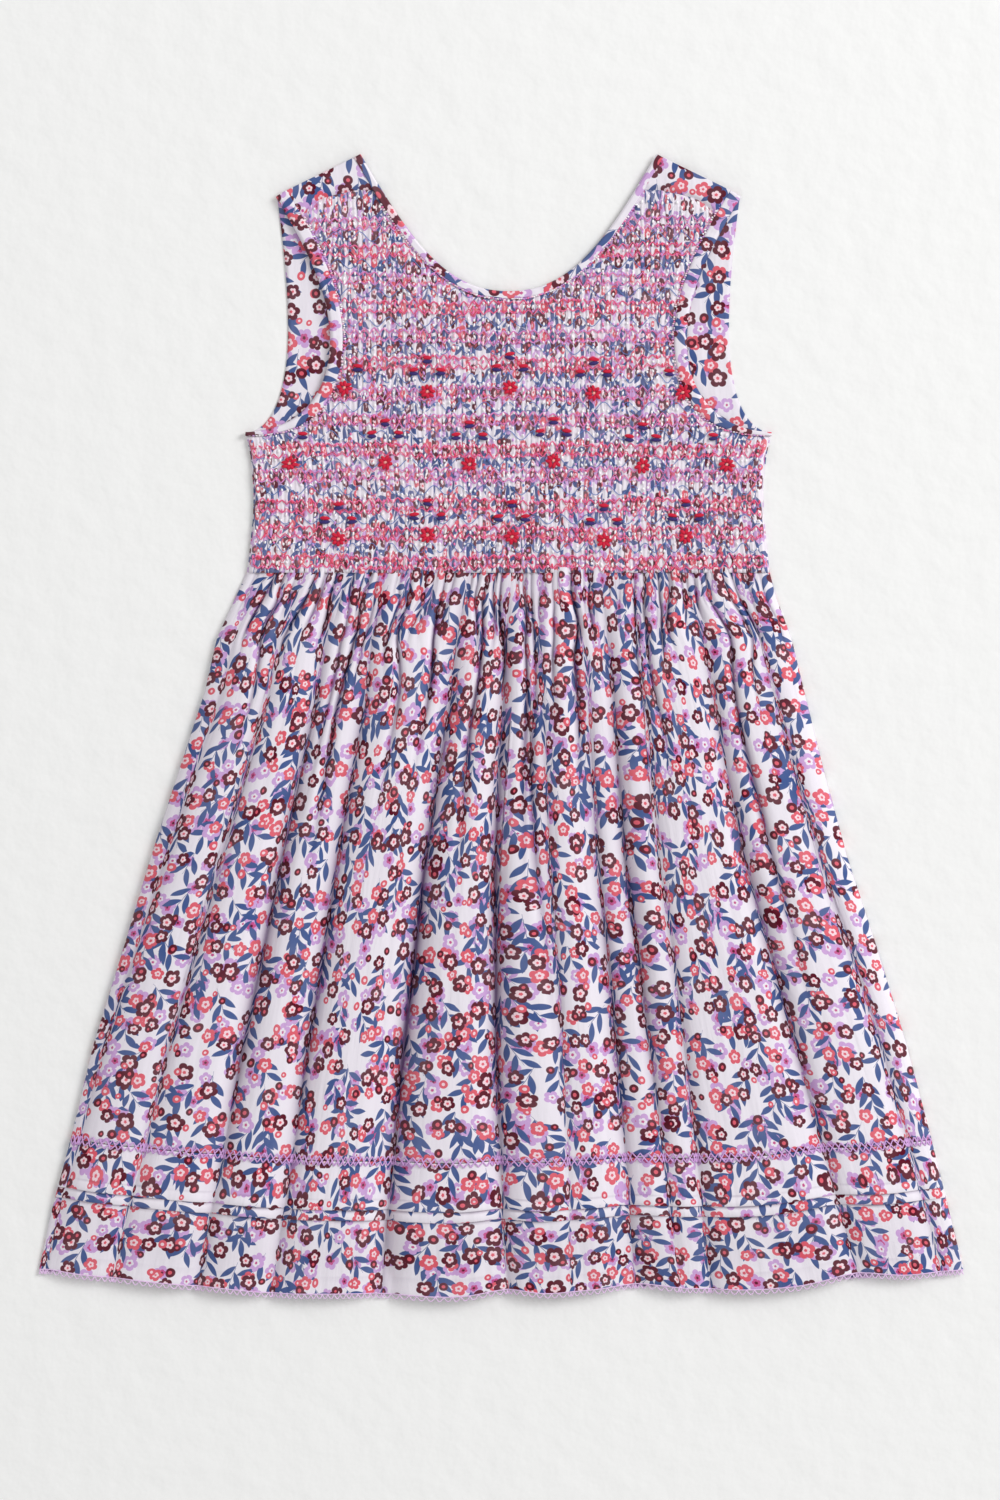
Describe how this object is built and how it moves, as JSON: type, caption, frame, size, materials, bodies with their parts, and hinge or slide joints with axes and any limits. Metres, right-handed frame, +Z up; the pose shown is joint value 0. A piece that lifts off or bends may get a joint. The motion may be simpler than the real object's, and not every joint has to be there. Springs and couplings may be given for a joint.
{
  "type": "girl's mini dress",
  "caption": "Sleeveless mini dress laid flat: smocked front bodice, round neck, gathered skirt with openwork insertion, tucked hem band and picot edging.",
  "frame": {"origin": "middle of the floor that the dress covers, on the surface that it lies on", "axes": "+Y from the hem to the shoulders, +X to the wearer's left, +Z up off the surface, out of the front of the dress"},
  "size_m": [0.4546, 0.5616, 0.0162],
  "materials": {
    "printed_cotton": "matt plain-weave cotton voile, off-white with a small print of blossoms, buds and leaves",
    "smocked_cotton": "the same print gathered into fine reeds and crossed by rows of lilac, pink and coral thread",
    "lilac_thread": "soft mercerised lilac cotton thread"
  },
  "bodies": {
    "root": {"back_bodice": "printed_cotton", "front_smocked_panel": "smocked_cotton", "neck_binding": "printed_cotton", "armhole_binding_left": "printed_cotton", "armhole_binding_right": "printed_cotton", "shoulder_left": "printed_cotton", "shoulder_right": "printed_cotton", "front_skirt": "printed_cotton", "front_insertion": "lilac_thread", "front_hem_band": "printed_cotton", "front_picot": "lilac_thread", "back_skirt": "printed_cotton", "back_insertion": "lilac_thread", "back_hem_band": "printed_cotton", "back_picot": "lilac_thread"}
  },
  "joints": []
}
